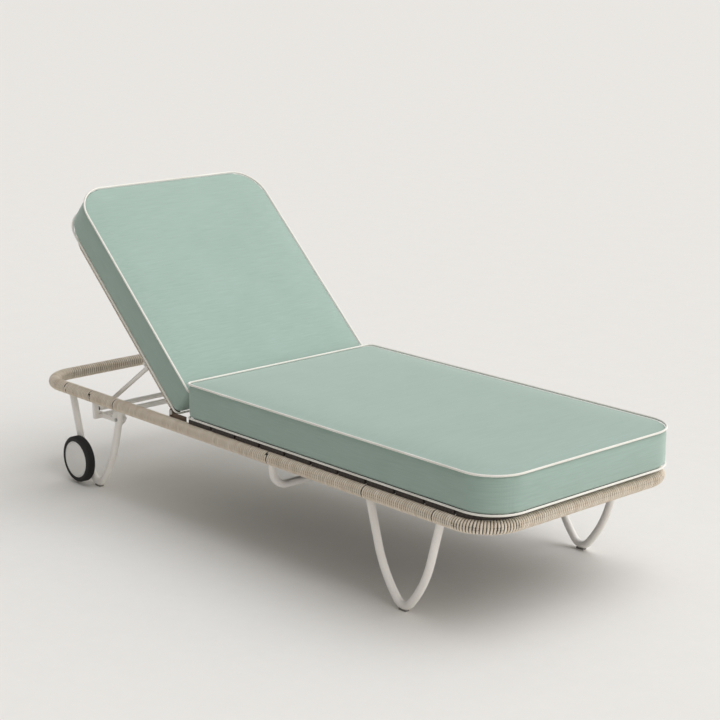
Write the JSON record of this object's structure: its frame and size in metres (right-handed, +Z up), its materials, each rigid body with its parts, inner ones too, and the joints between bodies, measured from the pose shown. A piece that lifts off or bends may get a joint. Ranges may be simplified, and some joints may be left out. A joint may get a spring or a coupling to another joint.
{
  "type": "reclining sun lounger",
  "caption": "Sun lounger with a rope-wrapped ring frame, bent-tube legs, slatted deck, reclining backrest on a swinging stay, wheels and two box cushions.",
  "frame": {"origin": "on the floor under the centre of the ring frame", "axes": "+X to the foot end, +Y to the far side, +Z up"},
  "size_m": [1.998, 0.77, 0.9003],
  "materials": {
    "seat_fabric": "woven",
    "back_fabric": "woven",
    "rope": "round braided rope",
    "white_coat": "satin powder coat",
    "deck_wood": "dark-stained hardwood",
    "bronze_coat": "satin powder coat",
    "zinc": "zinc plated",
    "black_plastic": "moulded",
    "tyre": "ribbed rubber",
    "hub": "moulded"
  },
  "bodies": {
    "frame": {"hinge_bracket_far": "bronze_coat", "hinge_bracket_near": "bronze_coat", "hinge_pins": "zinc", "leg_front_far": "white_coat", "leg_front_near": "white_coat", "leg_glides": "black_plastic", "leg_rear_far": "white_coat", "leg_rear_near": "white_coat", "mid_brace": "white_coat", "rack_bolts": "zinc", "rack_spacers": "white_coat", "rear_brace": "white_coat", "ring_frame_tube": "white_coat", "ring_wrap_far": "rope", "ring_wrap_foot": "rope", "ring_wrap_head": "rope", "ring_wrap_near": "rope", "seat_cushion": "seat_fabric", "seat_slat_01": "deck_wood", "seat_slat_02": "deck_wood", "seat_slat_03": "deck_wood", "seat_slat_04": "deck_wood", "seat_slat_05": "deck_wood", "seat_slat_06": "deck_wood", "seat_slat_07": "deck_wood", "seat_slat_08": "deck_wood", "seat_slat_09": "deck_wood", "seat_slat_10": "deck_wood", "seat_slat_11": "deck_wood", "seat_slat_screws": "zinc", "stay_rack_far": "white_coat", "stay_rack_near": "white_coat", "wheel_axles": "zinc"},
    "backrest": {"back_cushion": "back_fabric", "backrest_frame_tube": "white_coat", "backrest_knuckle_far": "bronze_coat", "backrest_knuckle_near": "bronze_coat", "backrest_lower_bar": "white_coat", "backrest_slat_1": "deck_wood", "backrest_slat_2": "deck_wood", "backrest_slat_3": "deck_wood", "backrest_slat_4": "deck_wood", "backrest_slat_5": "deck_wood", "backrest_slat_6": "deck_wood", "backrest_slat_7": "deck_wood", "backrest_wrap": "rope", "stay_pins": "zinc", "stay_tab_far": "white_coat", "stay_tab_near": "white_coat"},
    "stay": {"stay_frame": "white_coat", "stay_end_caps": "black_plastic"},
    "wheel_near": {"wheel_cap_near": "hub", "wheel_hub_near": "hub", "wheel_tyre_near": "tyre"},
    "wheel_far": {"wheel_cap_far": "hub", "wheel_hub_far": "hub", "wheel_tyre_far": "tyre"}
  },
  "joints": [
    {"name": "backrest_recline", "type": "hinge", "parent": "frame", "child": "backrest", "pos_m": [-0.302, 0, 0.321], "axis": [0, 1, 0], "range_deg": [-42.8, 17.2]},
    {"name": "stay_swing", "type": "hinge", "parent": "backrest", "child": "stay", "pos_m": [-0.44358, 0, 0.43303], "axis": [0, 1, 0], "range_deg": [-26.3, 65.2]},
    {"name": "wheel_near_spin", "type": "hinge", "parent": "frame", "child": "wheel_near", "pos_m": [-0.76224, -0.37, 0.079], "axis": [0, 1, 0], "continuous": true},
    {"name": "wheel_far_spin", "type": "hinge", "parent": "frame", "child": "wheel_far", "pos_m": [-0.76224, 0.37, 0.079], "axis": [0, 1, 0], "continuous": true}
  ],
  "couplings": [
    {"joint": "stay_swing", "follows": "backrest_recline", "ratio": -1.518}
  ]
}
